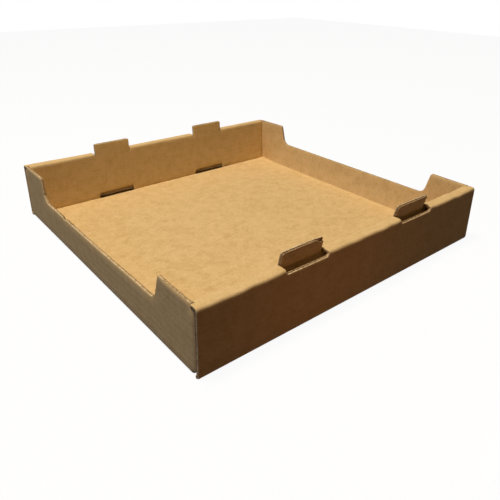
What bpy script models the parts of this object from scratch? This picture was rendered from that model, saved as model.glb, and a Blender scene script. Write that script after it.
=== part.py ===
"""Stacking tray, folded from one die-cut sheet of corrugated board.

The sheet is made the way the real one is. Its flat blank is drawn as a 2D curve as thick as
the board, with its slots, lugs and notches cut out. The fold lines are scored across it and
each panel is folded up about its line.

The outer liner keeps its length when a fold closes, while the inner liner crushes, so all
lengths in the blank are the outer liner's. Blank positions are (p, q): p runs along X and q
along Y from the middle of the base. A roll-over wall folds three times from the base
outwards: outer panel, spine, inner panel. An end wall folds once, and a flap at each of its
ends folds once more and lies between the two panels of the roll-over wall.

The finished tray stands on Z = 0 with the origin at the middle of its underside.
"""

import math

import bmesh
import bpy
from mathutils import Matrix, Vector

# Outside of the folded tray, in metres
LENGTH = 0.450
WIDTH = 0.450
HEIGHT = 0.0775

# The board and its folds
BOARD = 0.0042
LAYER_GAP = 0.0003
INSIDE_FOLD_RADIUS = 0.0008
FOLD_STEPS = 5
ARC_STEPS = 6

# Roll-over walls: the spine is their outside thickness
SPINE = 0.015
INNER_PANEL_END_GAP = 0.0005
INNER_PANEL_CORNER_RADIUS = 0.002

# Stacking lugs: each stands up from the inner panel, above a window in the rim, and leans
# outwards from a soft bend at its root
LUG_CENTRE = 0.0915
LUG_WIDTH = 0.058
LUG_TIP_RADIUS = 0.0025
LUG_CUT_PAST_FOLD = 0.0005
FRONT_LUG_LEAN = math.radians(12)
BACK_LUG_LEAN = math.radians(5)
LUG_BEND_STEPS = 2
TIP_GAP = 0.0025
WINDOW_GAP = 0.001
WINDOW_DEPTH = 0.006

# Slots that take the lugs of the tray below, with a notch in the inner panel over each
SLOT_CLEARANCE = 0.001
SLOT_WIDTH = 0.006
SLOT_RADIUS = 0.001
NOTCH_HEIGHT = 0.008
NOTCH_RADIUS = 0.0035

# End walls: a long dip between two tall corners
DIP_HEIGHT = 0.044
DIP_TOP_FROM_CORNER = 0.066
DIP_SLOPE = 0.009
DIP_TOP_RADIUS = 0.002
DIP_BOTTOM_RADIUS = 0.013

# Corner flaps, and the slit that parts the end fold from the side fold
FLAP_LENGTH = 0.060
FLAP_CLEARANCE = 0.001
FLAP_TAPER = 0.004
FLAP_RADIUS = 0.006
RELIEF = 0.001

# Worked out from the sizes above
FOLD_RADIUS = BOARD + INSIDE_FOLD_RADIUS
FOLD_ARC = FOLD_RADIUS * math.pi / 2
LAYER = BOARD + LAYER_GAP
SPINE_FLAT = SPINE - 2 * FOLD_RADIUS

END_FOLD = LENGTH / 2 - FOLD_RADIUS
SIDE_FOLD = WIDTH / 2 - FOLD_RADIUS
RIM_FOLD = SIDE_FOLD + FOLD_ARC + HEIGHT - 2 * FOLD_RADIUS
INNER_FOLD = RIM_FOLD + FOLD_ARC + SPINE_FLAT
INNER_PANEL_TOP = INNER_FOLD + FOLD_ARC
INNER_PANEL_BOTTOM = INNER_PANEL_TOP + HEIGHT - FOLD_RADIUS - LAYER
FLAP_FOLD = WIDTH / 2 - LAYER - FOLD_RADIUS
FLAP_TIP = FLAP_FOLD + FOLD_ARC + FLAP_LENGTH - FOLD_RADIUS
FLAP_BOTTOM = max(BOARD + FLAP_CLEARANCE, FOLD_RADIUS + LAYER_GAP)
FLAP_TOP = HEIGHT - FOLD_RADIUS
LUG_BEND = FOLD_ARC * LUG_BEND_STEPS / FOLD_STEPS
SLOT_LENGTH = LUG_WIDTH + 2 * SLOT_CLEARANCE

# How close two points count as one, the narrowest face that is kept, how flat two faces lie to
# count as one, and the angle at which the blank lies while it is filled
MERGE = 0.00001
SLIVER = 0.00004
FLAT = math.radians(0.5)
FILL_ANGLE = math.radians(20)


def on_end_wall(height):
    """Blank position p of a point at this height on the end wall's outer face."""
    return END_FOLD + FOLD_ARC + height - FOLD_RADIUS


def on_outer_panel(height):
    """Blank position q of a point at this height on the outer panel's outer face."""
    return SIDE_FOLD + FOLD_ARC + height - FOLD_RADIUS


def rounded(corners):
    """Points of a closed outline whose corners are (p, q, radius), with each radius as an arc."""
    points = []
    for index, (p, q, radius) in enumerate(corners):
        if not radius:
            points.append((p, q))
            continue
        before = corners[index - 1]
        after = corners[(index + 1) % len(corners)]
        back = math.atan2(before[1] - q, before[0] - p)
        ahead = math.atan2(after[1] - q, after[0] - p)
        opening = (ahead - back) % math.tau
        turn = math.pi - opening
        reach = radius / abs(math.tan(opening / 2))
        start_p = p + reach * math.cos(back)
        start_q = q + reach * math.sin(back)
        side = math.copysign(1, turn)
        to_centre = back + side * math.pi / 2
        centre_p = start_p + radius * math.cos(to_centre)
        centre_q = start_q + radius * math.sin(to_centre)
        for step in range(ARC_STEPS + 1):
            angle = to_centre + math.pi - turn * step / ARC_STEPS
            points.append((centre_p + radius * math.cos(angle), centre_q + radius * math.sin(angle)))
    return points


def quadrant():
    """Corners of a quarter of the blank, from the end wall's dip round to the inner panel's edge."""
    slit = FLAP_FOLD - RELIEF
    inner_end = LENGTH / 2 - BOARD - INNER_PANEL_END_GAP
    rim_end = WIDTH / 2 - SPINE + FOLD_RADIUS - LAYER_GAP
    dip_top = WIDTH / 2 - DIP_TOP_FROM_CORNER
    lug_side = LUG_CENTRE + SLOT_LENGTH / 2
    notch = INNER_PANEL_BOTTOM + LAYER_GAP - NOTCH_HEIGHT
    return [
        (on_end_wall(DIP_HEIGHT), dip_top - DIP_SLOPE, DIP_BOTTOM_RADIUS),
        (on_end_wall(HEIGHT), dip_top, DIP_TOP_RADIUS),
        (on_end_wall(HEIGHT), rim_end, 0),
        (on_end_wall(FLAP_TOP), rim_end, 0),
        (on_end_wall(FLAP_TOP - FLAP_TAPER), FLAP_TIP, FLAP_RADIUS),
        (on_end_wall(FLAP_BOTTOM + FLAP_TAPER), FLAP_TIP, FLAP_RADIUS),
        (on_end_wall(FLAP_BOTTOM), slit, 0),
        (END_FOLD - RELIEF, slit, 0),
        (END_FOLD - RELIEF, FLAP_FOLD, 0),
        (LENGTH / 2, SIDE_FOLD, 0),
        (LENGTH / 2, INNER_FOLD, 0),
        (inner_end, INNER_FOLD, 0),
        (inner_end, INNER_PANEL_BOTTOM, INNER_PANEL_CORNER_RADIUS),
        (lug_side, INNER_PANEL_BOTTOM, 0),
        (lug_side, notch, NOTCH_RADIUS),
        (lug_side - SLOT_LENGTH, notch, NOTCH_RADIUS),
        (lug_side - SLOT_LENGTH, INNER_PANEL_BOTTOM, 0),
    ]


def blank_outline():
    """The whole blank's outline: one quadrant, mirrored into the other three."""
    corners = []
    for side_p, side_q in ((1, 1), (-1, 1), (-1, -1), (1, -1)):
        part = [(side_p * p, side_q * q, radius) for p, q, radius in quadrant()]
        if side_p * side_q < 0:
            part.reverse()
        corners += part
    return rounded(corners)


def lug_cut(centre, side):
    """The cut round one lug: down both its sides and past its tip, which gives the window too."""
    window = LUG_WIDTH / 2 + WINDOW_GAP
    sill = on_outer_panel(HEIGHT - WINDOW_DEPTH)
    tip = sill + TIP_GAP
    root = INNER_PANEL_TOP + LUG_CUT_PAST_FOLD
    half = LUG_WIDTH / 2
    corners = [
        (-window, root, 0),
        (-window, sill, LUG_TIP_RADIUS + WINDOW_GAP),
        (window, sill, LUG_TIP_RADIUS + WINDOW_GAP),
        (window, root, 0),
        (half, root, 0),
        (half, tip, LUG_TIP_RADIUS),
        (-half, tip, LUG_TIP_RADIUS),
        (-half, root, 0),
    ]
    return [(centre + p, side * q) for p, q in rounded(corners)]


def base_slot(centre, side):
    """The slot in the base under one notch, from the inner panel's inside face outwards."""
    inside = WIDTH / 2 - SPINE
    half = SLOT_LENGTH / 2
    corners = [
        (-half, inside, SLOT_RADIUS),
        (half, inside, SLOT_RADIUS),
        (half, inside + SLOT_WIDTH, SLOT_RADIUS),
        (-half, inside + SLOT_WIDTH, SLOT_RADIUS),
    ]
    return [(centre + p, side * q) for p, q in rounded(corners)]


def merge_flat_faces(bm):
    """Join the faces that lie in one plane, so that only real edges stay."""
    bm.normal_update()
    bmesh.ops.dissolve_limit(
        bm,
        angle_limit=FLAT,
        use_dissolve_boundaries=False,
        verts=bm.verts,
        edges=bm.edges,
    )


def flat_blank():
    """The die-cut blank as a filled and thickened 2D curve, lying with its outside on Z = 0.

    A curve fills badly where many of its points lie level, as the corners of this blank do,
    so it is filled lying at an angle and then turned straight.
    """
    curve = bpy.data.curves.new("blank", "CURVE")
    curve.dimensions = "2D"
    curve.fill_mode = "BOTH"
    curve.extrude = BOARD / 2
    slant = Matrix.Rotation(FILL_ANGLE, 3, "Z")
    outlines = [blank_outline()]
    for side in (-1, 1):
        for centre in (-LUG_CENTRE, LUG_CENTRE):
            outlines.append(lug_cut(centre, side))
            outlines.append(base_slot(centre, side))
    for outline in outlines:
        spline = curve.splines.new("POLY")
        spline.points.add(len(outline) - 1)
        for point, place in zip(spline.points, outline):
            point.co = (*(slant @ Vector((*place, 0))), 1)
        spline.use_cyclic_u = True
    guide = bpy.data.objects.new("blank", curve)
    bpy.context.scene.collection.objects.link(guide)
    depsgraph = bpy.context.evaluated_depsgraph_get()
    flat = bpy.data.meshes.new_from_object(guide.evaluated_get(depsgraph))
    bm = bmesh.new()
    bm.from_mesh(flat)
    bmesh.ops.remove_doubles(bm, verts=bm.verts, dist=MERGE)
    bmesh.ops.transform(bm, matrix=slant.inverted().to_4x4(), verts=bm.verts)
    bmesh.ops.translate(bm, vec=(0, 0, BOARD / 2), verts=bm.verts)
    merge_flat_faces(bm)
    bmesh.ops.recalc_face_normals(bm, faces=bm.faces)
    bpy.data.objects.remove(guide)
    bpy.data.curves.remove(curve)
    bpy.data.meshes.remove(flat)
    return bm


def score(bm):
    """Cut the blank along every fold, with extra lines across each fold for its round."""
    folds = {0: (END_FOLD,), 1: (SIDE_FOLD, RIM_FOLD, INNER_FOLD, FLAP_FOLD)}
    for axis, starts in folds.items():
        for start in starts:
            for step in range(FOLD_STEPS + 1):
                place = start + FOLD_ARC * step / FOLD_STEPS
                for side in (-1, 1):
                    point = [0, 0, 0]
                    normal = [0, 0, 0]
                    point[axis] = side * place
                    normal[axis] = 1
                    bmesh.ops.bisect_plane(
                        bm,
                        geom=bm.verts[:] + bm.edges[:] + bm.faces[:],
                        plane_co=point,
                        plane_no=normal,
                        dist=MERGE,
                    )


def on_end(p, q):
    """Whether a blank point belongs to an end wall or to one of its flaps."""
    beside_base = abs(q) < FLAP_FOLD - RELIEF / 2
    past_sides = abs(p) > (LENGTH / 2 + on_end_wall(FLAP_BOTTOM)) / 2
    return abs(p) > END_FOLD and (beside_base or past_sides)


def on_lug(p, q):
    """Whether a blank point belongs to a lug, and so stands up from the inner panel."""
    tip_centre = on_outer_panel(HEIGHT - WINDOW_DEPTH) + TIP_GAP + LUG_TIP_RADIUS
    across = max(abs(abs(p) - LUG_CENTRE) - LUG_WIDTH / 2 + LUG_TIP_RADIUS, 0)
    along = max(tip_centre - abs(q), 0)
    inside = math.hypot(across, along) < LUG_TIP_RADIUS + WINDOW_GAP / 2
    return inside and abs(q) < INNER_PANEL_TOP - MERGE


def on_round(steps, depth):
    """Place in a fold's round, this many score lines into it and this deep in the board.

    The result is (outwards, upwards) from the fold's start. Between two score lines the
    board is flat.
    """
    last = math.floor(steps)
    out = 0
    up = FOLD_RADIUS
    for step, share in ((last, 1 - steps + last), (last + 1, steps - last)):
        turned = step / FOLD_STEPS * math.pi / 2
        out += share * (FOLD_RADIUS - depth) * math.sin(turned)
        up -= share * (FOLD_RADIUS - depth) * math.cos(turned)
    return out, up


def on_lean(reach, depth, lean):
    """Place in a leaning lug, this far from its root and this deep in the board.

    The result is (outwards, upwards) in the frame of the inner fold, which the lug points
    away from.
    """
    radius = LUG_BEND / lean
    turned = min(reach / LUG_BEND, 1) * lean
    straight = max(reach - LUG_BEND, 0)
    out = FOLD_RADIUS - radius + (radius - depth) * math.cos(turned) - straight * math.sin(lean)
    up = FOLD_RADIUS - (radius - depth) * math.sin(turned) - straight * math.cos(lean)
    return out, up


def fold(places, axis, start, carried, lugs):
    """Fold what lies past `start` on both sides of the blank by a right angle towards +Z.

    `places` pairs each vertex with its blank position, `carried` picks what the fold moves,
    and `lugs` picks what stands up from the fold instead of closing round it.
    """
    for vertex, flat in places:
        along = abs(flat[axis]) - start
        stands = lugs(*flat)
        if not carried(*flat) or (along <= 0 and not stands):
            continue
        side = math.copysign(1, flat[axis])
        if stands and start == INNER_FOLD:
            lean = BACK_LUG_LEAN if side > 0 else FRONT_LUG_LEAN
            out, up = on_lean(FOLD_ARC - along, vertex.co.z, lean)
        elif along < FOLD_ARC and not stands:
            out, up = on_round(along / FOLD_ARC * FOLD_STEPS, vertex.co.z)
        else:
            out = FOLD_RADIUS - vertex.co.z
            up = FOLD_RADIUS + side * vertex.co[axis] - start - FOLD_ARC
        vertex.co[axis] = side * (start + out)
        vertex.co.z = up


def fold_up(bm):
    """Fold every panel, the outermost folds first, so that each one carries those past it."""
    places = [(vertex, (vertex.co.x, vertex.co.y)) for vertex in bm.verts]

    def never(p, q):
        return False

    def on_side(p, q):
        return not on_end(p, q)

    for start in (INNER_FOLD, RIM_FOLD, SIDE_FOLD):
        fold(places, 1, start, on_side, on_lug)
    fold(places, 1, FLAP_FOLD, on_end, never)
    fold(places, 0, END_FOLD, on_end, never)


def kraft_board():
    """Plain brown kraft liner, unprinted."""
    material = bpy.data.materials.new("kraft_board")
    material.use_nodes = True
    shader = material.node_tree.nodes["Principled BSDF"]
    shader.inputs["Base Color"].default_value = (0.52, 0.32, 0.14, 1)
    shader.inputs["Roughness"].default_value = 0.85
    shader.inputs["Metallic"].default_value = 0.0
    material.diffuse_color = (0.52, 0.32, 0.14, 1)
    return material


def folded_tray():
    """The whole tray: one sheet, cut, scored and folded."""
    bm = flat_blank()
    score(bm)
    fold_up(bm)
    merge_flat_faces(bm)
    bmesh.ops.dissolve_degenerate(bm, dist=SLIVER, edges=bm.edges)
    mesh = bpy.data.meshes.new("folded_tray")
    bm.to_mesh(mesh)
    bm.free()
    mesh.shade_smooth()
    mesh.set_sharp_from_angle(angle=math.radians(35))
    mesh.materials.append(kraft_board())
    return bpy.data.objects.new("folded_tray", mesh)


def main():
    for old in list(bpy.data.objects):
        bpy.data.objects.remove(old)
    collection = bpy.data.collections.new("cardboard_tray_box")
    bpy.context.scene.collection.children.link(collection)
    collection.objects.link(folded_tray())


if __name__ == "__main__":
    main()
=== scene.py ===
"""A stacking tray of brown corrugated board, dressed for its picture.

The tray is one die-cut sheet of single-wall corrugated board, folded with no glue. The sheet is
built here as the real board is: two kraft liners with a fluted medium between them. Each layer is
cut flat to the shape of the blank, gets its wave and its thickness from one Geometry Nodes tree,
and is then folded up by the same rule, so that the layers stay one board round every fold.

A place in the flat blank is (p, q, n): p runs along X and q along Y from the middle of the base,
and n is the depth in the board, from its outside face inwards. Each mesh keeps these places in an
attribute, and the patterns of the paper follow them through the folds.
"""

import logging
import math
from dataclasses import dataclass, field, replace
from enum import Enum

import bmesh
import bpy
import numpy as np
from mathutils import Matrix, Vector

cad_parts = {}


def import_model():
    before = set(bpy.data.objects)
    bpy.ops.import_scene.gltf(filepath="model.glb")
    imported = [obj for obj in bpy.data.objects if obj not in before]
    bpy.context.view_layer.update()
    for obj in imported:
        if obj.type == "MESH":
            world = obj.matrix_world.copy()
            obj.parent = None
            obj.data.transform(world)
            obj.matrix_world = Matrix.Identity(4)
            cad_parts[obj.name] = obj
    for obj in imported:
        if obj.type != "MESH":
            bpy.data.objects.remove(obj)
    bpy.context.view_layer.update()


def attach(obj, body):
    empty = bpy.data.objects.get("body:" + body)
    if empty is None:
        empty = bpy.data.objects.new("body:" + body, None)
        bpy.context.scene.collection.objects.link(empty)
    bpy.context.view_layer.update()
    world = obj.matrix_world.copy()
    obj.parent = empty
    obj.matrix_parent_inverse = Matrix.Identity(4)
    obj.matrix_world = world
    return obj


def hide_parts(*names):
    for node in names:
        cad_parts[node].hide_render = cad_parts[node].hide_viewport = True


log = logging.getLogger("tray")

BLANK_PLACE = "blank_place"
CUT_EDGE = "cut_edge"
CREASE = "crease"
NEAR_CUT = "near_cut"

# Where a Mix node takes two numbers, and where it takes two colours and gives their mixture
NUMBER_A, NUMBER_B = 2, 3
COLOUR_A, COLOUR_B, COLOUR_RESULT = 6, 7, 2
WHITE = (1.0, 1.0, 1.0, 1.0)

Tree = bpy.types.NodeTree
Node = bpy.types.Node
Socket = bpy.types.NodeSocket
Colour = tuple[float, float, float, float]
Pair = tuple[float, float]
Triple = tuple[float, float, float]
# A place (p, q) in the flat blank, and a corner of an outline: its place and its radius
Place = Pair
Corner = Triple


def linear(hex_colour: str) -> Colour:
    """Turn an sRGB hex colour into the linear RGBA that a shader socket takes.

    Args:
        hex_colour: Six hex digits after a "#".

    Returns:
        Linear red, green and blue, and an alpha of 1.
    """
    parts = [int(hex_colour[place : place + 2], 16) / 255 for place in (1, 3, 5)]
    red, green, blue = (
        part / 12.92 if part <= 0.04045 else ((part + 0.055) / 1.055) ** 2.4 for part in parts
    )
    return (red, green, blue, 1.0)


def add_node(tree: Tree, kind: str, inputs: dict | None = None, **settings: object) -> Node:
    """Add a node with its settings, and give its inputs values or links.

    Args:
        tree: The node tree that gets the node.
        kind: The node's type name.
        inputs: Input name or index to a value, or to the output socket that feeds it, or to a
            node whose first output does.
        **settings: Properties of the node.

    Returns:
        The new node.
    """
    node = tree.nodes.new(kind)
    for name, value in settings.items():
        setattr(node, name, value)
    for name, value in (inputs or {}).items():
        source = value.outputs[0] if isinstance(value, Node) else value
        if isinstance(source, Socket):
            tree.links.new(source, node.inputs[name])
        else:
            node.inputs[name].default_value = source
    return node


def seen_directly(tree: Tree) -> Socket:
    """Tell the rays that show a surface from those that only light the scene.

    Args:
        tree: The node tree that gets the nodes for it.

    Returns:
        1 for a ray from the camera, off a glossy surface or through glass, and 0 for any other.
    """
    path = add_node(tree, "ShaderNodeLightPath").outputs
    seen = path["Is Camera Ray"]
    for ray in ("Is Glossy Ray", "Is Transmission Ray"):
        seen = add_node(tree, "ShaderNodeMath", {0: seen, 1: path[ray]}, operation="MAXIMUM").outputs[0]
    return seen


class Layer(Enum):
    """The three papers of single-wall corrugated board, named as they lie in the tray."""

    OUTSIDE_LINER = "outside_liner"
    FLUTED_MEDIUM = "fluted_medium"
    INSIDE_LINER = "inside_liner"


@dataclass(frozen=True)
class BoardSizes:
    """C-flute board: its thickness, its papers and how tightly it folds, in metres.

    The steps, columns and grids say how finely the papers are divided.
    """

    thickness: float = 0.0042
    liner: float = 0.00045
    medium: float = 0.00035
    paper_gap: float = 0.00004
    flute_pitch: float = 0.0078
    columns_per_flute: int = 8
    inside_fold_radius: float = 0.0008
    fold_steps: int = 6
    liner_grid: float = 0.012
    medium_grid: float = 0.036

    @property
    def fold_radius(self) -> float:
        """Radius of a fold on the outside liner."""
        return self.thickness + self.inside_fold_radius

    @property
    def fold_arc(self) -> float:
        """Length of the outside liner in one right-angled fold."""
        return self.fold_radius * math.pi / 2


@dataclass(frozen=True)
class CutFinish:
    """What the die does to a cut edge: it draws the faces in and frays the liners inwards.

    A cut along the flutes has nothing between the liners to hold them apart and closes most, and
    the share changes a little along every cut. The ends of the outer panels gape near the base,
    and the short cuts at the corners stay open.
    """

    rings: Pair = (0.0005, 0.0009)
    ring_share: float = 0.4
    drawn_in: float = 0.0006
    frayed: float = 0.0018
    across_flutes: float = 0.75
    panel_ends: float = 0.3
    gaping: float = 0.034
    corner: float = 0.006
    uneven: float = 0.2
    uneven_lengths: Pair = (0.19, 0.083)
    along_flutes_from: float = 0.9
    across_flutes_to: float = 0.1
    slack: float = 0.001

    def share(self, start: Vector, stop: Vector, panel_end: float) -> float:
        """How far the die closes a stretch of cut.

        Args:
            start: Where the stretch starts in the flat blank.
            stop: Where it stops.
            panel_end: How far out the ends of the outer panels lie.

        Returns:
            A share from 0 to 1.
        """
        along = abs((stop - start).normalized().y)
        middle = (start + stop) / 2
        if along > self.along_flutes_from and abs(abs(middle.x) - panel_end) < self.slack:
            return self.panel_ends if abs(middle.y) < panel_end + self.gaping else 1.0
        if along < self.across_flutes_to and abs(middle.x) > panel_end - self.corner:
            return 0.0
        share = self.across_flutes + (1 - self.across_flutes) * along
        length_p, length_q = self.uneven_lengths
        turn = math.tau * (middle.x / length_p + middle.y / length_q)
        return share * (1 - self.uneven + self.uneven * math.sin(turn))


@dataclass(frozen=True)
class TraySizes:
    """The folded tray's sizes in metres: those of its solid, apart from the settled lugs."""

    board: BoardSizes = field(default_factory=BoardSizes)
    length: float = 0.450
    width: float = 0.450
    height: float = 0.0775
    layer_gap: float = 0.0003
    spine: float = 0.015
    inner_panel_end_gap: float = 0.0005
    inner_panel_corner_radius: float = 0.002
    lug_centre: float = 0.0915
    lug_width: float = 0.058
    lug_tip_radius: float = 0.0025
    lug_cut_past_fold: float = 0.0005
    near_lug_lean: float = math.radians(11)
    far_lug_lean: float = math.radians(15)
    back_lug_lean: float = math.radians(0.5)
    lug_bend_share: float = 0.4
    tip_gap: float = 0.0025
    window_gap: float = 0.001
    window_depth: float = 0.006
    slot_clearance: float = 0.001
    slot_width: float = 0.006
    slot_radius: float = 0.001
    notch_height: float = 0.008
    notch_radius: float = 0.0035
    dip_height: float = 0.044
    dip_top_from_corner: float = 0.066
    dip_slope: float = 0.009
    dip_top_radius: float = 0.004
    dip_bottom_radius: float = 0.013
    flap_length: float = 0.060
    flap_clearance: float = 0.001
    flap_taper: float = 0.004
    flap_radius: float = 0.006
    relief: float = 0.001

    @property
    def end_fold(self) -> float:
        """Where the folds of the end walls start, along p."""
        return self.length / 2 - self.board.fold_radius

    @property
    def side_fold(self) -> float:
        """Where the folds of the outer panels start, along q."""
        return self.width / 2 - self.board.fold_radius

    @property
    def rim_fold(self) -> float:
        """Where the folds from the outer panels to the spines start."""
        return self.side_fold + self.board.fold_arc + self.height - 2 * self.board.fold_radius

    @property
    def inner_fold(self) -> float:
        """Where the folds from the spines to the inner panels start."""
        return self.rim_fold + self.board.fold_arc + self.spine - 2 * self.board.fold_radius

    @property
    def inner_panel_top(self) -> float:
        """Where the inner panels start to be flat."""
        return self.inner_fold + self.board.fold_arc

    @property
    def inner_panel_bottom(self) -> float:
        """The free edges of the inner panels, just above the base."""
        layer = self.board.thickness + self.layer_gap
        return self.inner_panel_top + self.height - self.board.fold_radius - layer

    @property
    def flap_fold(self) -> float:
        """Where the folds of the corner flaps start, along q."""
        return self.width / 2 - self.board.thickness - self.layer_gap - self.board.fold_radius

    @property
    def flap_tip(self) -> float:
        """The free ends of the corner flaps."""
        return self.flap_fold + self.board.fold_arc + self.flap_length - self.board.fold_radius

    @property
    def flap_bottom(self) -> float:
        """Height of the flaps' lower edges in the folded tray."""
        clear = self.board.thickness + self.flap_clearance
        return max(clear, self.board.fold_radius + self.layer_gap)

    @property
    def flap_top(self) -> float:
        """Height of the flaps' upper edges in the folded tray."""
        return self.height - self.board.fold_radius

    @property
    def lug_bend(self) -> float:
        """Length of the soft bend at the root of a lug."""
        return self.board.fold_arc * self.lug_bend_share

    @property
    def lug_tip(self) -> float:
        """Where the tips of the lugs lie, along q."""
        return self.on_outer_panel(self.height - self.window_depth) + self.tip_gap

    def on_end_wall(self, height: float) -> float:
        """Blank place p of a height on an end wall."""
        return self.end_fold + self.board.fold_arc + height - self.board.fold_radius

    def on_outer_panel(self, height: float) -> float:
        """Blank place q of a height on an outer panel."""
        return self.side_fold + self.board.fold_arc + height - self.board.fold_radius


@dataclass(frozen=True)
class Wear:
    """Damage to the tray in use, in metres: a nick, a lifted edge, and worn and torn lug corners.

    A profile has the corners of a damaged edge, as shares of half its width or its length and of
    its depth.
    """

    nick_place: float = 0.084
    nick_width: float = 0.013
    nick_depth: float = 0.0032
    nick_profile: tuple[Pair, ...] = ((1, 0), (0.3, 0.6), (-0.2, 1), (-0.5, 0.3), (-1, 0))
    lifted_length: float = 0.021
    lifted: float = 0.0014
    near_lug_corner: float = 0.0036
    far_lug_corner: float = 0.0052
    tear_length: float = 0.013
    tear_depth: float = 0.0065
    tear_profile: tuple[Pair, ...] = ((0, 1), (0.20, 0.72), (0.42, 0.66), (0.66, 0.25), (1, 0))
    tear_in_medium: float = 0.25

    def nick(self, edge: float) -> list[Corner]:
        """The nick in the low edge of the left end wall.

        Args:
            edge: How far out from the middle of the base that edge lies.

        Returns:
            Corners from the back to the front of the nick.
        """
        half = self.nick_width / 2
        return [
            (-edge + inwards * self.nick_depth, self.nick_place + along * half, 0)
            for along, inwards in self.nick_profile
        ]

    def tear(self, half: float, tip: float, shrink: float) -> list[Corner]:
        """The torn corner of a lug.

        Args:
            half: Half of the lug's width.
            tip: Where the lug's tip lies, along q.
            shrink: How much smaller the tear is in this layer, from 0 to 1.

        Returns:
            Corners from the lug's side to its tip.
        """
        length = self.tear_length * (1 - shrink)
        depth = self.tear_depth * (1 - shrink)
        return [(half - along * length, tip + down * depth, 0) for along, down in self.tear_profile]


@dataclass(frozen=True)
class Blank:
    """The outlines that the die cuts the flat sheet to, with the tray's wear."""

    sizes: TraySizes
    layer: Layer
    wear: Wear = field(default_factory=Wear)
    arc_steps: int = 8

    def rounded(self, corners: list[Corner]) -> list[Place]:
        """Round the corners of a closed outline.

        Args:
            corners: Each corner's p and q and its radius, which may be 0.

        Returns:
            The outline's points, with each radius as an arc.
        """
        points: list[Place] = []
        for index, (p, q, radius) in enumerate(corners):
            if not radius:
                points.append((p, q))
                continue
            before = corners[index - 1]
            after = corners[(index + 1) % len(corners)]
            back = math.atan2(before[1] - q, before[0] - p)
            ahead = math.atan2(after[1] - q, after[0] - p)
            opening = (ahead - back) % math.tau
            turn = math.pi - opening
            reach = radius / abs(math.tan(opening / 2))
            to_centre = back + math.copysign(math.pi / 2, turn)
            centre_p = p + reach * math.cos(back) + radius * math.cos(to_centre)
            centre_q = q + reach * math.sin(back) + radius * math.sin(to_centre)
            for step in range(self.arc_steps + 1):
                angle = to_centre + math.pi - turn * step / self.arc_steps
                points.append((centre_p + radius * math.cos(angle), centre_q + radius * math.sin(angle)))
        return points

    def quadrant(self) -> list[Corner]:
        """Lay out a quarter of the sheet.

        Returns:
            Its corners, from the end wall's dip to the inner panel's free edge.
        """
        size = self.sizes
        slit = size.flap_fold - size.relief
        inner_end = size.length / 2 - size.board.thickness - size.inner_panel_end_gap
        rim_end = size.width / 2 - size.spine + size.board.fold_radius - size.layer_gap
        dip_top = size.width / 2 - size.dip_top_from_corner
        slot_length = size.lug_width + 2 * size.slot_clearance
        lug_side = size.lug_centre + slot_length / 2
        notch = size.inner_panel_bottom + size.layer_gap - size.notch_height
        return [
            (size.on_end_wall(size.dip_height), dip_top - size.dip_slope, size.dip_bottom_radius),
            (size.on_end_wall(size.height), dip_top, size.dip_top_radius),
            (size.on_end_wall(size.height), rim_end, 0),
            (size.on_end_wall(size.flap_top), rim_end, 0),
            (size.on_end_wall(size.flap_top - size.flap_taper), size.flap_tip, size.flap_radius),
            (size.on_end_wall(size.flap_bottom + size.flap_taper), size.flap_tip, size.flap_radius),
            (size.on_end_wall(size.flap_bottom), slit, 0),
            (size.end_fold - size.relief, slit, 0),
            (size.end_fold - size.relief, size.flap_fold, 0),
            (size.length / 2, size.side_fold, 0),
            (size.length / 2, size.inner_fold, 0),
            (inner_end, size.inner_fold, 0),
            (inner_end, size.inner_panel_bottom, size.inner_panel_corner_radius),
            (lug_side, size.inner_panel_bottom, 0),
            (lug_side, notch, size.notch_radius),
            (lug_side - slot_length, notch, size.notch_radius),
            (lug_side - slot_length, size.inner_panel_bottom, 0),
        ]

    def sheet(self) -> list[Place]:
        """Lay out the whole sheet: one quadrant, mirrored into the other three.

        Returns:
            The sheet's own outline.
        """
        corners: list[Corner] = []
        bottom = self.sizes.inner_panel_bottom
        for side_p, side_q in ((1, 1), (-1, 1), (-1, -1), (1, -1)):
            part = self.quadrant()
            if (side_p, side_q) == (1, 1):
                # One end of the edge between the notches is lifted off the base
                place = next(index for index, corner in enumerate(part) if corner[1:] == (bottom, 0))
                start = part[place][0]
                lifted = (start, bottom - self.wear.lifted, 0)
                part[place : place + 1] = [(start + self.wear.lifted_length, bottom, 0), lifted]
            part = [(side_p * p, side_q * q, radius) for p, q, radius in part]
            if side_p * side_q < 0:
                part.reverse()
            corners += part
            if (side_p, side_q) == (-1, 1):
                corners += self.wear.nick(self.sizes.on_end_wall(self.sizes.dip_height))
        return self.rounded(corners)

    def lug_cut(self, centre: float, side: int) -> list[Place]:
        """The cut round one lug.

        Args:
            centre: The lug's middle along p.
            side: 1 for the back wall, -1 for the front wall.

        Returns:
            The outline of what is cut away, which also opens the window in the rim.
        """
        size = self.sizes
        window = size.lug_width / 2 + size.window_gap
        half = size.lug_width / 2
        sill = size.on_outer_panel(size.height - size.window_depth)
        tip = size.lug_tip
        root = size.inner_panel_top + size.lug_cut_past_fold
        left_radius = size.lug_tip_radius
        right_corner = [(half, tip, size.lug_tip_radius)]
        if side < 0 and centre > 0:
            left_radius = self.wear.far_lug_corner
        if side < 0 and centre < 0:
            left_radius = self.wear.near_lug_corner
            if self.layer is not Layer.OUTSIDE_LINER:
                shrink = 0.0 if self.layer is Layer.INSIDE_LINER else self.wear.tear_in_medium
                right_corner = self.wear.tear(half, tip, shrink)
        corners = [
            (-window, root, 0),
            (-window, sill, size.lug_tip_radius + size.window_gap),
            (window, sill, size.lug_tip_radius + size.window_gap),
            (window, root, 0),
            (half, root, 0),
            *right_corner,
            (-half, tip, left_radius),
            (-half, root, 0),
        ]
        return [(centre + p, side * q) for p, q in self.rounded(corners)]

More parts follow.
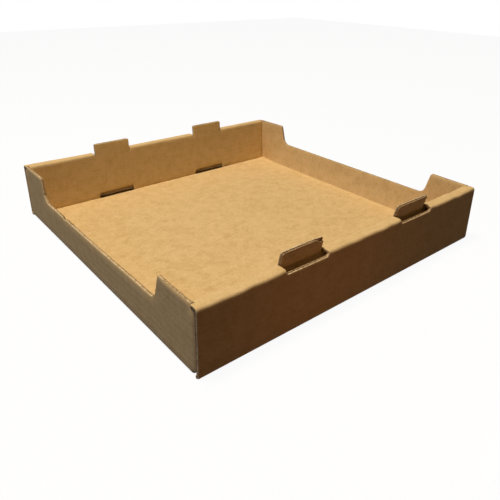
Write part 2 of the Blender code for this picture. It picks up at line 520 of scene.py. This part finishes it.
    def base_slot(self, centre: float, side: int) -> list[Place]:
        """The slot in the base that takes a lug of the tray below.

        Args:
            centre: The slot's middle along p.
            side: 1 for the back wall, -1 for the front wall.

        Returns:
            The outline of the slot.
        """
        size = self.sizes
        inside = size.width / 2 - size.spine
        half = size.lug_width / 2 + size.slot_clearance
        corners = [
            (-half, inside, size.slot_radius),
            (half, inside, size.slot_radius),
            (half, inside + size.slot_width, size.slot_radius),
            (-half, inside + size.slot_width, size.slot_radius),
        ]
        return [(centre + p, side * q) for p, q in self.rounded(corners)]

    def outlines(self) -> list[list[Place]]:
        """Lay out every cut.

        Returns:
            The sheet's edge first, then the holes in it.
        """
        outlines = [self.sheet()]
        for side in (-1, 1):
            for centre in (-self.sizes.lug_centre, self.sizes.lug_centre):
                outlines.append(self.lug_cut(centre, side))
                outlines.append(self.base_slot(centre, side))
        return outlines


@dataclass(frozen=True)
class Folding:
    """How the flat sheet is folded up into the tray.

    The score crushes the board, so a fold is squarer than a quarter of a circle: a roundness of 1
    is the circle, and less is squarer.
    """

    sizes: TraySizes
    rim_roundness: float = 0.68
    base_roundness: float = 0.9
    slack: float = 1e-5

    def on_end(self, p: np.ndarray, q: np.ndarray) -> np.ndarray:
        """Find the places of the end walls and their flaps.

        Args:
            p: Places along p.
            q: Places along q.

        Returns:
            True for each such place.
        """
        size = self.sizes
        beside_base = np.abs(q) < size.flap_fold - size.relief / 2
        past_sides = np.abs(p) > (size.length / 2 + size.on_end_wall(size.flap_bottom)) / 2
        return (np.abs(p) > size.end_fold) & (beside_base | past_sides)

    def on_lug(self, p: np.ndarray, q: np.ndarray) -> np.ndarray:
        """Find the places of the lugs, which stand up from the inner panels.

        Args:
            p: Places along p.
            q: Places along q.

        Returns:
            True for each such place.
        """
        size = self.sizes
        tip = size.lug_tip
        radius = size.lug_tip_radius
        across = np.maximum(np.abs(np.abs(p) - size.lug_centre) - size.lug_width / 2 + radius, 0)
        along = np.maximum(tip + radius - np.abs(q), 0)
        inside = np.hypot(across, along) < radius + size.window_gap / 2
        return inside & (np.abs(q) < size.inner_panel_top - self.slack)

    def on_lean(
        self, reach: np.ndarray, depth: np.ndarray, lean: np.ndarray
    ) -> tuple[np.ndarray, np.ndarray]:
        """Lay places into a leaning lug, in the frame of the inner fold that it points away from.

        Args:
            reach: How far each place is from the lug's root.
            depth: How deep each place is in the board.
            lean: How far the lug leans outwards.

        Returns:
            How far out and how far up each place goes from the start of the inner fold.
        """
        bend = self.sizes.lug_bend
        fold_radius = self.sizes.board.fold_radius
        radius = bend / lean
        turned = np.minimum(reach / bend, 1) * lean
        straight = np.maximum(reach - bend, 0)
        out = fold_radius - radius + (radius - depth) * np.cos(turned) - straight * np.sin(lean)
        up = fold_radius - (radius - depth) * np.sin(turned) - straight * np.cos(lean)
        return out, up

    def place(self, blank: np.ndarray) -> tuple[np.ndarray, np.ndarray]:
        """Fold places of the blank into the tray's space.

        Args:
            blank: Rows of (p, q, n).

        Returns:
            Rows of (x, y, z), and for each row how far into a crease it lies, from 0 to 1.
        """
        size = self.sizes
        points = blank.copy()
        crease = np.zeros(len(blank))
        on_end = self.on_end(blank[:, 0], blank[:, 1])
        on_lug = self.on_lug(blank[:, 0], blank[:, 1])
        nothing = np.zeros(len(blank), dtype=bool)
        folds = [(1, start, ~on_end, on_lug) for start in (size.inner_fold, size.rim_fold, size.side_fold)]
        folds.append((1, size.flap_fold, on_end, nothing))
        folds.append((0, size.end_fold, on_end, nothing))
        arc = size.board.fold_arc
        radius = size.board.fold_radius
        front_lean = np.where(blank[:, 0] < 0, size.near_lug_lean, size.far_lug_lean)
        lean = np.where(blank[:, 1] > 0, size.back_lug_lean, front_lean)
        for axis, start, carried, stiff in folds:
            along = np.abs(blank[:, axis]) - start
            side = np.sign(blank[:, axis])
            lie = points[:, 2].copy()
            moves = carried & ((along > 0) | stiff)
            bends = moves & (along < arc) & ~stiff
            angle = np.clip(along / arc, 0, 1) * math.pi / 2
            at_base = start in (size.side_fold, size.end_fold)
            roundness = self.base_roundness if at_base else self.rim_roundness
            bent_out = np.sin(angle) ** roundness
            bent_up = 1 - np.clip(np.cos(angle), 0, 1) ** roundness
            out = np.where(bends, (radius - lie) * bent_out, radius - lie)
            up = np.where(
                bends,
                lie + (radius - lie) * bent_up,
                radius + side * points[:, axis] - start - arc,
            )
            if start == size.inner_fold:
                lean_out, lean_up = self.on_lean(arc - along, lie, lean)
                out = np.where(stiff, lean_out, out)
                up = np.where(stiff, lean_up, up)
            points[moves, axis] = (side * (start + out))[moves]
            points[moves, 2] = up[moves]
            crease[bends] = np.maximum(crease[bends], np.sin(2 * angle[bends]))
        return points, crease


@dataclass(frozen=True)
class Settling:
    """How far the folded board has relaxed, in metres.

    The right end wall has crept in at its foot and leans out above it, and the low edges of both
    end walls stand a little high. The back wall leans out and its spine slopes with it, and the
    front rim waves between its lugs. A fade says how far from a corner, or from a lug, one of
    these starts and stops to come in.
    """

    sizes: TraySizes
    wall_reach: float = 0.006
    foot_in: float = 0.0036
    foot_height: float = 0.030
    foot_fade: Pair = (0.060, 0.020)
    base_drawn: float = 0.030
    edge_out: float = 0.001
    edge_out_from: float = 0.008
    left_edge_up: float = 0.0036
    left_edge_fall: float = 0.6
    left_edge_fade: Pair = (0.075, 0.245)
    right_edge_up: float = 0.0014
    dip_fade: Pair = (0.077, 0.055)
    back_out: float = 0.0048
    back_fade: Pair = (0.065, 0.012)
    spine_slope: float = 0.11
    spine_fade: float = 0.090
    spine_heights: Pair = (0.031, 0.0695)
    rim_wave: float = 0.0005
    rim_waves: Pair = (0.041, 0.026)
    rim_turns: Pair = (1, 4)
    rim_second: float = 0.6
    rim_top_fade: Pair = (0.012, 0.002)
    rim_lug_fade: Pair = (0.002, 0.012)
    rim_width: float = 0.016
    rim_end: float = 0.010
    slack: float = 0.001

    @staticmethod
    def ease(start: float, stop: float, values: np.ndarray) -> np.ndarray:
        """Rise smoothly from 0 at `start` to 1 at `stop`."""
        share = np.clip((values - start) / (stop - start), 0, 1)
        return share * share * (3 - 2 * share)

    def toward(self, corner: float, fade: Pair, values: np.ndarray) -> np.ndarray:
        """Rise smoothly from 0 to 1 over a fade before a corner."""
        return self.ease(corner - fade[0], corner - fade[1], values)

    def end_walls(self, points: np.ndarray) -> tuple[np.ndarray, np.ndarray]:
        """Let the end walls settle.

        Args:
            points: Rows of (x, y, z).

        Returns:
            How far each place moves along X, and how far up.
        """
        half = self.sizes.length / 2
        wall = half - self.wall_reach
        x, y, z = points.T
        foot = self.ease(wall - self.base_drawn, wall, x)
        foot *= 1 - self.toward(half, self.foot_fade, np.abs(y))
        creep = self.foot_in * (1 - self.ease(0, self.foot_height, z))
        lean = self.edge_out * self.ease(self.edge_out_from, self.sizes.dip_height, z)
        start, stop = self.left_edge_fade
        fall = 1 - self.left_edge_fall * self.ease(start - half, stop - half, y)
        rise = self.left_edge_up * (x < -wall) * fall + self.right_edge_up * (x > wall)
        rise *= 1 - self.toward(half, self.dip_fade, np.abs(y))
        return foot * (lean - creep), rise * np.minimum(z / self.sizes.dip_height, 1)

    def side_walls(self, points: np.ndarray) -> tuple[np.ndarray, np.ndarray]:
        """Let the back wall and the front rim settle.

        Args:
            points: Rows of (x, y, z).

        Returns:
            How far each place moves along Y, and how far up.
        """
        size = self.sizes
        half = size.length / 2
        x, y, z = points.T
        out = self.back_out * z / size.height * self.toward(half, self.back_fade, y)
        slope = self.ease(*self.spine_heights, z) * (z < size.height + self.slack)
        slope *= self.spine_slope * self.ease(-half, self.spine_fade - half, x)
        from_lug = np.abs(np.abs(x) - size.lug_centre) - size.lug_width / 2
        rim = self.toward(size.height, self.rim_top_fade, z) * self.ease(*self.rim_lug_fade, from_lug)
        rim *= (y < self.rim_width - half) * (np.abs(x) < half - self.rim_end)
        long_wave, short_wave = (math.tau * x / length for length in self.rim_waves)
        long_turn, short_turn = self.rim_turns
        wave = np.sin(long_wave + long_turn) - 1
        wave += self.rim_second * (np.sin(short_wave + short_turn + y) - 1)
        return out, self.rim_wave * rim * wave - slope * np.maximum(y - half + size.spine, 0)

    def relax(self, points: np.ndarray) -> np.ndarray:
        """Move folded places to where the tray's board has settled.

        Args:
            points: Rows of (x, y, z).

        Returns:
            The moved rows.
        """
        out_x, up_at_ends = self.end_walls(points)
        out_y, up_at_sides = self.side_walls(points)
        return points + np.column_stack((out_x, out_y, up_at_ends + up_at_sides))


@dataclass(frozen=True)
class CorrugatedTray:
    """The folded tray, as the three papers of its board."""

    sizes: TraySizes
    finish: CutFinish = field(default_factory=CutFinish)
    slant: float = math.radians(20)
    flat_within: float = math.radians(0.5)
    sharp_from: float = math.radians(40)
    merge: float = 1e-5

    def fill(self, layer: Layer) -> bmesh.types.BMesh:
        """Fill the blank's outlines as a flat face on Z = 0 that looks up.

        A curve fills badly where many of its points lie level, so it is filled lying at a
        slant and then turned straight.

        Args:
            layer: Which paper the sheet is for.

        Returns:
            A bmesh of the flat sheet.
        """
        curve = bpy.data.curves.new("blank", "CURVE")
        curve.dimensions = "2D"
        curve.fill_mode = "BOTH"
        turn = Matrix.Rotation(self.slant, 3, "Z")
        for outline in Blank(self.sizes, layer).outlines():
            spline = curve.splines.new("POLY")
            spline.points.add(len(outline) - 1)
            for point, place in zip(spline.points, outline):
                point.co = (*(turn @ Vector((*place, 0))), 1)
            spline.use_cyclic_u = True
        guide = bpy.data.objects.new("blank", curve)
        bpy.context.scene.collection.objects.link(guide)
        flat = bpy.data.meshes.new_from_object(guide.evaluated_get(bpy.context.evaluated_depsgraph_get()))
        sheet = bmesh.new()
        sheet.from_mesh(flat)
        bmesh.ops.remove_doubles(sheet, verts=sheet.verts, dist=self.merge)
        bmesh.ops.transform(sheet, matrix=turn.inverted().to_4x4(), verts=sheet.verts)
        sheet.normal_update()
        pieces = {"verts": sheet.verts, "edges": sheet.edges}
        bmesh.ops.dissolve_limit(sheet, angle_limit=self.flat_within, use_dissolve_boundaries=False, **pieces)
        sheet.normal_update()
        if sum(face.normal.z for face in sheet.faces) < 0:
            bmesh.ops.reverse_faces(sheet, faces=sheet.faces)
        bpy.data.objects.remove(guide)
        bpy.data.curves.remove(curve)
        bpy.data.meshes.remove(flat)
        return sheet

    def edge_rings(self, sheet: bmesh.types.BMesh) -> None:
        """Add rings of faces along every cut edge, and mark how near each vertex is to the cut.

        Args:
            sheet: The flat sheet, which is changed.
        """
        core = sheet.faces[:]
        rings = []
        for width in self.finish.rings:
            made = bmesh.ops.inset_region(
                sheet, faces=core, use_boundary=True, use_even_offset=True, thickness=width
            )
            rings.append(made["faces"])
        near = sheet.verts.layers.float.new(NEAR_CUT)
        panel_end = self.sizes.length / 2
        for face in rings[0]:
            cut = next(edge for edge in face.edges if edge.is_boundary)
            share = self.finish.share(cut.verts[0].co, cut.verts[1].co, panel_end)
            for vertex in face.verts:
                value = share if vertex.is_boundary else share * self.finish.ring_share
                vertex[near] = max(vertex[near], value)

    def rule(self, sheet: bmesh.types.BMesh, axis: int, places: list[float]) -> None:
        """Cut straight lines across the flat sheet.

        Args:
            sheet: The flat sheet, which is changed.
            axis: 0 for lines at fixed p, 1 for lines at fixed q.
            places: Where the lines lie along that axis.
        """
        for place in places:
            point = [0.0, 0.0, 0.0]
            normal = [0.0, 0.0, 0.0]
            point[axis] = place
            normal[axis] = 1.0
            bmesh.ops.bisect_plane(
                sheet,
                geom=sheet.verts[:] + sheet.edges[:] + sheet.faces[:],
                plane_co=point,
                plane_no=normal,
                dist=self.merge,
            )

    def lines(self, layer: Layer) -> tuple[list[float], list[float]]:
        """Where a layer's sheet is ruled.

        Args:
            layer: Which paper the sheet is for.

        Returns:
            The lines at fixed p, and the lines at fixed q.
        """
        size = self.sizes
        board = size.board
        steps = [board.fold_arc * step / board.fold_steps for step in range(board.fold_steps + 1)]
        across = [size.end_fold + step for step in steps]
        starts = (size.side_fold, size.rim_fold, size.inner_fold, size.flap_fold)
        along = [start + step for start in starts for step in steps]
        reach_p = size.on_end_wall(size.height)
        reach_q = size.inner_panel_bottom
        grid = board.liner_grid
        if layer is Layer.FLUTED_MEDIUM:
            grid = board.medium_grid
            column = board.flute_pitch / board.columns_per_flute
            across = [column * (step + 0.5) for step in range(int(reach_p / column))]
        else:
            across += [grid * (step + 0.5) for step in range(int(reach_p / grid))]
        along += [grid * (step + 0.5) for step in range(int(reach_q / grid))]
        return (
            sorted(side * place for place in across for side in (-1, 1)),
            sorted(side * place for place in along for side in (-1, 1)),
        )

    def layer_tree(self) -> Tree:
        """Make the tree that gives a flat paper its wave and its thickness.

        Returns:
            A Geometry Nodes tree with named inputs for the layer's sizes and its material.
        """
        tree = bpy.data.node_groups.new("paper_layer", "GeometryNodeTree")
        face = tree.interface
        face.new_socket("Geometry", in_out="INPUT", socket_type="NodeSocketGeometry")
        for name in ("Depth", "Thickness", "Wave Height", "Flute Pitch", "Lower Edge", "Upper Edge"):
            face.new_socket(name, in_out="INPUT", socket_type="NodeSocketFloat")
        face.new_socket("Paper", in_out="INPUT", socket_type="NodeSocketMaterial")
        face.new_socket("Geometry", in_out="OUTPUT", socket_type="NodeSocketGeometry")
        given = add_node(tree, "NodeGroupInput").outputs
        position = add_node(tree, "GeometryNodeInputPosition")
        along = add_node(tree, "ShaderNodeSeparateXYZ", {0: position}).outputs["X"]
        near = add_node(tree, "GeometryNodeInputNamedAttribute", {"Name": NEAR_CUT}, data_type="FLOAT")
        # The lower face follows the flutes, and is drawn in or frayed where it nears a cut
        flutes = add_node(tree, "ShaderNodeMath", {0: along, 1: given["Flute Pitch"]}, operation="DIVIDE")
        turn = add_node(tree, "ShaderNodeMath", {0: flutes, 1: math.tau}, operation="MULTIPLY")
        wave = add_node(tree, "ShaderNodeMath", {0: turn}, operation="COSINE")
        inputs = {0: wave, 1: given["Wave Height"], 2: given["Depth"]}
        depth = add_node(tree, "ShaderNodeMath", inputs, operation="MULTIPLY_ADD")
        inputs = {0: near, 1: given["Lower Edge"], 2: depth}
        drawn = add_node(tree, "ShaderNodeMath", inputs, operation="MULTIPLY_ADD")
        offset = add_node(tree, "ShaderNodeCombineXYZ", {"Z": drawn})
        inputs = {"Geometry": given["Geometry"], "Offset": offset}
        lower = add_node(tree, "GeometryNodeSetPosition", inputs)
        # The upper face lies the paper's thickness above it
        offset = add_node(tree, "ShaderNodeCombineXYZ", {"Z": given["Thickness"]})
        inputs = {"Mesh": lower, "Offset": offset, "Offset Scale": 1.0, "Individual": False}
        raised = add_node(tree, "GeometryNodeExtrudeMesh", inputs, mode="FACES").outputs
        frayed = add_node(tree, "ShaderNodeMath", {0: near, 1: given["Upper Edge"]}, operation="MULTIPLY")
        offset = add_node(tree, "ShaderNodeCombineXYZ", {"Z": frayed})
        inputs = {"Geometry": raised["Mesh"], "Selection": raised["Top"], "Offset": offset}
        upper = add_node(tree, "GeometryNodeSetPosition", inputs)
        inputs = {"Geometry": upper, "Name": CUT_EDGE, "Value": raised["Side"]}
        kinds = {"data_type": "FLOAT", "domain": "FACE"}
        marked = add_node(tree, "GeometryNodeStoreNamedAttribute", inputs, **kinds)
        under = add_node(tree, "GeometryNodeFlipFaces", {"Mesh": lower})
        both = add_node(tree, "GeometryNodeJoinGeometry")
        for part in (marked, under):
            tree.links.new(part.outputs[0], both.inputs[0])
        inputs = {"Geometry": both, "Distance": self.merge / 10}
        closed = add_node(tree, "GeometryNodeMergeByDistance", inputs)
        real = add_node(tree, "GeometryNodeRealizeInstances", {"Geometry": closed})
        dressed = add_node(tree, "GeometryNodeSetMaterial", {"Geometry": real, "Material": given["Paper"]})
        add_node(tree, "NodeGroupOutput", {0: dressed})
        return tree

    def layer_inputs(self, layer: Layer) -> dict[str, float]:
        """Give the sizes that the tree takes for one layer.

        Args:
            layer: Which paper.

        Returns:
            The name of each input and its value.
        """
        board = self.sizes.board
        if layer is Layer.FLUTED_MEDIUM:
            room = board.thickness - 2 * (board.liner + board.paper_gap) - board.medium
            middle = board.liner + board.paper_gap + room / 2
            return {"Depth": middle, "Thickness": board.medium, "Wave Height": room / 2}
        inside = layer is Layer.INSIDE_LINER
        return {
            "Depth": board.thickness - board.liner if inside else 0.0,
            "Thickness": board.liner,
            "Lower Edge": -self.finish.frayed if inside else self.finish.drawn_in,
            "Upper Edge": self.finish.frayed - self.finish.drawn_in,
        }

    def build(self, layer: Layer, tree: Tree, paper: bpy.types.Material) -> bpy.types.Object:
        """Build one paper of the folded board.

        Args:
            layer: Which paper.
            tree: The Geometry Nodes tree from `layer_tree`.
            paper: The layer's material.

        Returns:
            The finished piece.
        """
        sheet = self.fill(layer)
        if layer is not Layer.FLUTED_MEDIUM:
            self.edge_rings(sheet)
        across, along = self.lines(layer)
        self.rule(sheet, 1, along)
        self.rule(sheet, 0, across)
        flat = bpy.data.meshes.new(layer.value)
        sheet.to_mesh(flat)
        sheet.free()
        piece = bpy.data.objects.new(layer.value, flat)
        bpy.context.scene.collection.objects.link(piece)
        modifier = piece.modifiers.new("paper", "NODES")
        modifier.node_group = tree
        values = {**self.layer_inputs(layer), "Flute Pitch": self.sizes.board.flute_pitch, "Paper": paper}
        for item in tree.interface.items_tree:
            if item.in_out == "INPUT" and item.name in values:
                modifier[item.identifier] = values[item.name]
        mesh = bpy.data.meshes.new_from_object(piece.evaluated_get(bpy.context.evaluated_depsgraph_get()))
        piece.modifiers.clear()
        piece.data = mesh
        bpy.data.meshes.remove(flat)
        mesh.name = layer.value
        self.fold_mesh(mesh)
        return piece

    def fold_mesh(self, mesh: bpy.types.Mesh) -> None:
        """Fold a layer's flat mesh, and keep each vertex's blank place in an attribute.

        Args:
            mesh: The mesh of one layer, lying flat, which is changed.
        """
        count = len(mesh.vertices)
        flat = np.empty(count * 3)
        mesh.vertices.foreach_get("co", flat)
        blank = flat.reshape(count, 3)
        points, crease = Folding(self.sizes).place(blank)
        points = Settling(self.sizes).relax(points)
        mesh.attributes.new(BLANK_PLACE, "FLOAT_VECTOR", "POINT").data.foreach_set("vector", blank.ravel())
        mesh.attributes.new(CREASE, "FLOAT", "POINT").data.foreach_set("value", crease)
        mesh.vertices.foreach_set("co", points.ravel())
        mesh.shade_smooth()
        mesh.set_sharp_from_angle(angle=self.sharp_from)
        mesh.update()


@dataclass(frozen=True)
class Kraft:
    """Kraft paper: unbleached pulp, calendered matte, with darker fibres and cloudy formation.

    A scale says how many features of a pattern there are to a metre, along p, q and n where it
    has three numbers. A range says where in a pattern its dark parts start and are full, and a
    share says how much one pattern counts beside the others.
    """

    name: str
    pale: str
    middle: str
    dark: str
    # The colour of the raw edges; the inside liner's is darker, as painted shade
    edge: str
    # Painted shade: the colour of the small hollows between torn fibres in a raw edge
    hollow_shade: str = "#735838"
    tones: Triple = (0.36, 0.5, 0.64)
    cloud_scale: float = 75.0
    flock_scale: float = 330.0
    flock_share: float = 0.55
    streak_scale: Triple = (12.0, 260.0, 260.0)
    streak_share: float = 0.15
    fibre_scale: Triple = (500.0, 1300.0, 1300.0)
    fibre_range: Pair = (0.58, 0.74)
    fibre_share: float = 0.35
    crease_share: float = 0.25
    hollow_shade_range: Pair = (0.47, 0.57)
    hollow_shade_share: float = 0.6
    tooth: float = 0.0003
    tooth_share: float = 0.25
    washboard: float = 0.0
    roughness: float = 0.82
    refraction: float = 1.45
    gloss: float = 0.15

    def material(self, sizes: TraySizes) -> bpy.types.Material:
        """Make the paper's material.

        Args:
            sizes: The tray's sizes, for the pitch of the flutes that show through the liner.

        Returns:
            A material whose patterns follow the sheet through its folds.
        """
        material = bpy.data.materials.new(self.name)
        material.use_nodes = True
        tree = material.node_tree
        place = add_node(tree, "ShaderNodeAttribute", attribute_name=BLANK_PLACE).outputs["Vector"]
        # Formation: pulp lies in clouds some 13 mm across, with smaller flocks of about 3 mm
        inputs = {"Vector": place, "Scale": self.cloud_scale, "Detail": 3.0, "Roughness": 0.6}
        clouds = add_node(tree, "ShaderNodeTexNoise", inputs)
        inputs = {"Vector": place, "Scale": self.flock_scale, "Detail": 4.0, "Roughness": 0.65}
        flocks = add_node(tree, "ShaderNodeTexNoise", inputs)
        inputs = {"Factor": self.flock_share, NUMBER_A: clouds, NUMBER_B: flocks}
        formation = add_node(tree, "ShaderNodeMix", inputs, data_type="FLOAT")
        shader = tree.nodes["Principled BSDF"]
        tree.links.new(self.colour(tree, place, formation, flocks), shader.inputs["Base Color"])
        # Tooth of the paper, and the flutes that show through it as a washboard
        inputs = {"Height": formation, "Strength": self.tooth_share, "Distance": self.tooth}
        tooth = add_node(tree, "ShaderNodeBump", inputs)
        along = add_node(tree, "ShaderNodeSeparateXYZ", {0: place}).outputs["X"]
        inputs = {0: along, 1: math.tau / sizes.board.flute_pitch}
        turn = add_node(tree, "ShaderNodeMath", inputs, operation="MULTIPLY")
        wave = add_node(tree, "ShaderNodeMath", {0: turn}, operation="COSINE")
        inputs = {"Height": wave, "Strength": 1.0, "Distance": self.washboard, "Normal": tooth}
        washboard = add_node(tree, "ShaderNodeBump", inputs)
        tree.links.new(washboard.outputs[0], shader.inputs["Normal"])
        shader.inputs["Roughness"].default_value = self.roughness
        shader.inputs["IOR"].default_value = self.refraction
        shader.inputs["Specular IOR Level"].default_value = self.gloss
        return material

    def colour(self, tree: Tree, place: Socket, formation: Node, flocks: Node) -> Socket:
        """Colour the paper: its formation, streaks and fibres, its creases and its raw edges.

        Args:
            tree: The material's node tree.
            place: The socket that gives the places in the blank.
            formation: The node that gives the paper's cloudiness.
            flocks: The node that gives its small flocks.

        Returns:
            The socket that gives the colour.
        """
        # The paper machine leaves streaks some 80 mm long and 4 mm wide, square to the flutes
        drawn = add_node(tree, "ShaderNodeMapping", {"Vector": place, "Scale": self.streak_scale})
        inputs = {"Vector": drawn, "Scale": 1.0, "Detail": 3.0, "Roughness": 0.6}
        streaks = add_node(tree, "ShaderNodeTexNoise", inputs)
        inputs = {"Factor": self.streak_share, NUMBER_A: formation, NUMBER_B: streaks}
        streaked = add_node(tree, "ShaderNodeMix", inputs, data_type="FLOAT")
        tone = add_node(tree, "ShaderNodeValToRGB", {"Fac": streaked})
        ramp = tone.color_ramp
        low, middle, high = self.tones
        ramp.elements[0].position = low
        ramp.elements[0].color = linear(self.dark)
        ramp.elements[1].position = high
        ramp.elements[1].color = linear(self.pale)
        ramp.elements.new(middle).color = linear(self.middle)
        # Fibres: drawn 0.8 mm by 2 mm, coarser than real pulp, so that they show
        drawn = add_node(tree, "ShaderNodeMapping", {"Vector": place, "Scale": self.fibre_scale})
        inputs = {"Vector": drawn, "Scale": 1.0, "Detail": 2.0, "Roughness": 0.5, "Distortion": 0.6}
        fibres = add_node(tree, "ShaderNodeTexNoise", inputs)
        start, stop = self.fibre_range
        inputs = {"Value": fibres, "From Min": start, "From Max": stop, "To Max": self.fibre_share}
        fleck = add_node(tree, "ShaderNodeMapRange", inputs)
        # Creases rub paler
        crease = add_node(tree, "ShaderNodeAttribute", attribute_name=CREASE).outputs["Fac"]
        rub = add_node(tree, "ShaderNodeMath", {0: crease, 1: self.crease_share}, operation="MULTIPLY")
        # Raw edges show pale torn fibre, with painted shade in the small hollows between
        cut = add_node(tree, "ShaderNodeAttribute", attribute_name=CUT_EDGE).outputs["Fac"]
        start, stop = self.hollow_shade_range
        inputs = {"Value": flocks, "From Min": start, "From Max": stop, "To Max": self.hollow_shade_share}
        shaded_hollows = add_node(tree, "ShaderNodeMapRange", inputs)
        inputs = {"Factor": shaded_hollows, COLOUR_A: linear(self.edge), COLOUR_B: linear(self.hollow_shade)}
        raw = add_node(tree, "ShaderNodeMix", inputs, data_type="RGBA").outputs[COLOUR_RESULT]
        colour = tone.outputs[0]
        for share, over in ((fleck, linear(self.dark)), (rub, linear(self.pale)), (cut, raw)):
            inputs = {"Factor": share, COLOUR_A: colour, COLOUR_B: over}
            colour = add_node(tree, "ShaderNodeMix", inputs, data_type="RGBA").outputs[COLOUR_RESULT]
        return colour


# Brown kraft liner, the same paper on both faces of the board
OUTSIDE_KRAFT = Kraft(
    name="outside_kraft_liner",
    pale="#DFC08B",
    middle="#D7B880",
    dark="#C8A66E",
    edge="#DEC69B",
    washboard=0.00002,
)
# The same paper, with its raw edges painted darker as painted shade: the inside liner's edge lies in shadow
# behind the outside liner's lit edge
INSIDE_KRAFT_SHADED_EDGE = replace(OUTSIDE_KRAFT, name="inside_kraft_liner_shaded_edge", edge="#B29267")
# Semi-chemical fluting: duller and greyer than the liners
FLUTING = Kraft(
    name="fluting_medium",
    pale="#C2A074",
    middle="#B39065",
    dark="#9E7B52",
    edge="#CBAB80",
    roughness=0.9,
)


@dataclass(frozen=True)
class Lamp:
    """A soft square lamp, in metres and watts."""

    name: str
    place: Triple
    aim: Triple
    side: float
    power: float
    colour: str

    def hang(self) -> None:
        """Add the lamp to the scene, facing the point that it aims at."""
        data = bpy.data.lights.new(self.name, "AREA")
        data.shape = "SQUARE"
        data.size = self.side
        data.energy = self.power
        data.color = linear(self.colour)[:3]
        lamp = bpy.data.objects.new(self.name, data)
        lamp.location = self.place
        lamp.rotation_euler = (Vector(self.aim) - Vector(self.place)).to_track_quat("-Z", "Y").to_euler()
        bpy.context.scene.collection.objects.link(lamp)


TRAY_MIDDLE = (0.0, 0.0, 0.03)
LAMPS = (
    # The key light: a soft box overhead, a little to the left
    Lamp("overhead", (-0.50, 0.04, 2.46), TRAY_MIDDLE, side=0.5, power=63.0, colour="#FFF2E2"),
    # A weak cool fill from the left
    Lamp("left_fill", (-1.8, 0.3, 0.6), TRAY_MIDDLE, side=1.0, power=5.0, colour="#94BFFF"),
    # A low warm glow on the middle of the front panel
    Lamp("front_glow", (-0.07, -0.44, 0.02), (-0.07, 0.0, 0.02), side=0.1, power=0.040, colour="#FF9C42"),
)


@dataclass(frozen=True)
class Studio:
    """The camera, the lights and the white ground. Right, down and ahead are the camera's axes."""

    lens: float = 37.339
    sensor: float = 36.0
    shift_y: float = -0.11322
    camera_place: Triple = (-0.42279, -0.53364, 0.33647)
    right: Triple = (0.77535, -0.63139, 0.01302)
    down: Triple = (-0.23461, -0.30712, -0.92230)
    ahead: Triple = (0.58633, 0.71205, -0.38626)
    clip: Pair = (0.01, 50.0)
    air: str = "#F2E8DC"
    air_strength: float = 0.010
    floor_half: float = 3.0
    floor_shadow: float = 0.06
    floor_seen: str = "#F4F4F4"
    floor_bounce: str = "#422E20"
    floor_roughness: float = 0.9

    def camera(self) -> None:
        """Set up the camera at the picture's viewing angle."""
        data = bpy.data.cameras.new("camera")
        data.lens = self.lens
        data.sensor_width = self.sensor
        data.shift_y = self.shift_y
        data.clip_start, data.clip_end = self.clip
        camera = bpy.data.objects.new("camera", data)
        back = [-part for part in self.ahead]
        turn = Matrix((self.right, [-part for part in self.down], back)).transposed()
        camera.matrix_world = Matrix.Translation(self.camera_place) @ turn.to_4x4()
        bpy.context.scene.collection.objects.link(camera)
        bpy.context.scene.camera = camera

    def world(self) -> None:
        """Light the scene evenly and weakly, and show the camera plain white."""
        world = bpy.data.worlds.new("studio")
        bpy.context.scene.world = world
        world.use_nodes = True
        tree = world.node_tree
        tree.nodes.clear()
        air = {"Color": linear(self.air), "Strength": self.air_strength}
        soft = add_node(tree, "ShaderNodeBackground", air)
        white = add_node(tree, "ShaderNodeBackground", {"Color": WHITE, "Strength": 1.0})
        shown = add_node(tree, "ShaderNodeMixShader", {0: seen_directly(tree), 1: soft, 2: white})
        add_node(tree, "ShaderNodeOutputWorld", {"Surface": shown})

    def floor_material(self) -> bpy.types.Material:
        """Make the ground's material.

        Returns:
            White paper to look at, which keeps a faint shadow and gives the tray only a little
            warm light back.
        """
        material = bpy.data.materials.new("white_studio_paper")
        material.use_nodes = True
        tree = material.node_tree
        shader = tree.nodes["Principled BSDF"]
        shader.inputs["Roughness"].default_value = self.floor_roughness
        seen = seen_directly(tree)
        inputs = {"Factor": seen, COLOUR_A: linear(self.floor_bounce), COLOUR_B: linear(self.floor_seen)}
        paper = add_node(tree, "ShaderNodeMix", inputs, data_type="RGBA").outputs[COLOUR_RESULT]
        tree.links.new(paper, shader.inputs["Base Color"])
        share = add_node(tree, "ShaderNodeMath", {0: seen, 1: 1 - self.floor_shadow}, operation="MULTIPLY")
        white = add_node(tree, "ShaderNodeEmission", {"Color": WHITE, "Strength": 1.0})
        shown = add_node(tree, "ShaderNodeMixShader", {0: share, 1: shader, 2: white})
        tree.links.new(shown.outputs[0], tree.nodes["Material Output"].inputs["Surface"])
        return material

    def floor(self) -> None:
        """Lay the white ground."""
        sheet = bmesh.new()
        bmesh.ops.create_grid(sheet, x_segments=1, y_segments=1, size=self.floor_half)
        mesh = bpy.data.meshes.new("ground")
        sheet.to_mesh(mesh)
        sheet.free()
        mesh.materials.append(self.floor_material())
        ground = bpy.data.objects.new("ground", mesh)
        bpy.context.scene.collection.objects.link(ground)

    def build(self) -> None:
        """Set up everything round the tray."""
        bpy.context.scene.view_settings.view_transform = "Standard"
        self.camera()
        for lamp in LAMPS:
            lamp.hang()
        self.world()
        self.floor()


def main() -> None:
    """Build the tray and its studio, and report each piece."""
    logging.basicConfig(level=logging.INFO, format="%(message)s")
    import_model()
    Studio().build()
    sizes = TraySizes()
    tray = CorrugatedTray(sizes)
    tree = tray.layer_tree()
    papers = {
        Layer.OUTSIDE_LINER: OUTSIDE_KRAFT,
        Layer.FLUTED_MEDIUM: FLUTING,
        Layer.INSIDE_LINER: INSIDE_KRAFT_SHADED_EDGE,
    }
    for layer, paper in papers.items():
        piece = tray.build(layer, tree, paper.material(sizes))
        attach(piece, "root")
        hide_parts("folded_tray")
        piece.data.calc_loop_triangles()
        log.info("%s: %d triangles", piece.name, len(piece.data.loop_triangles))


if __name__ == "__main__":
    main()
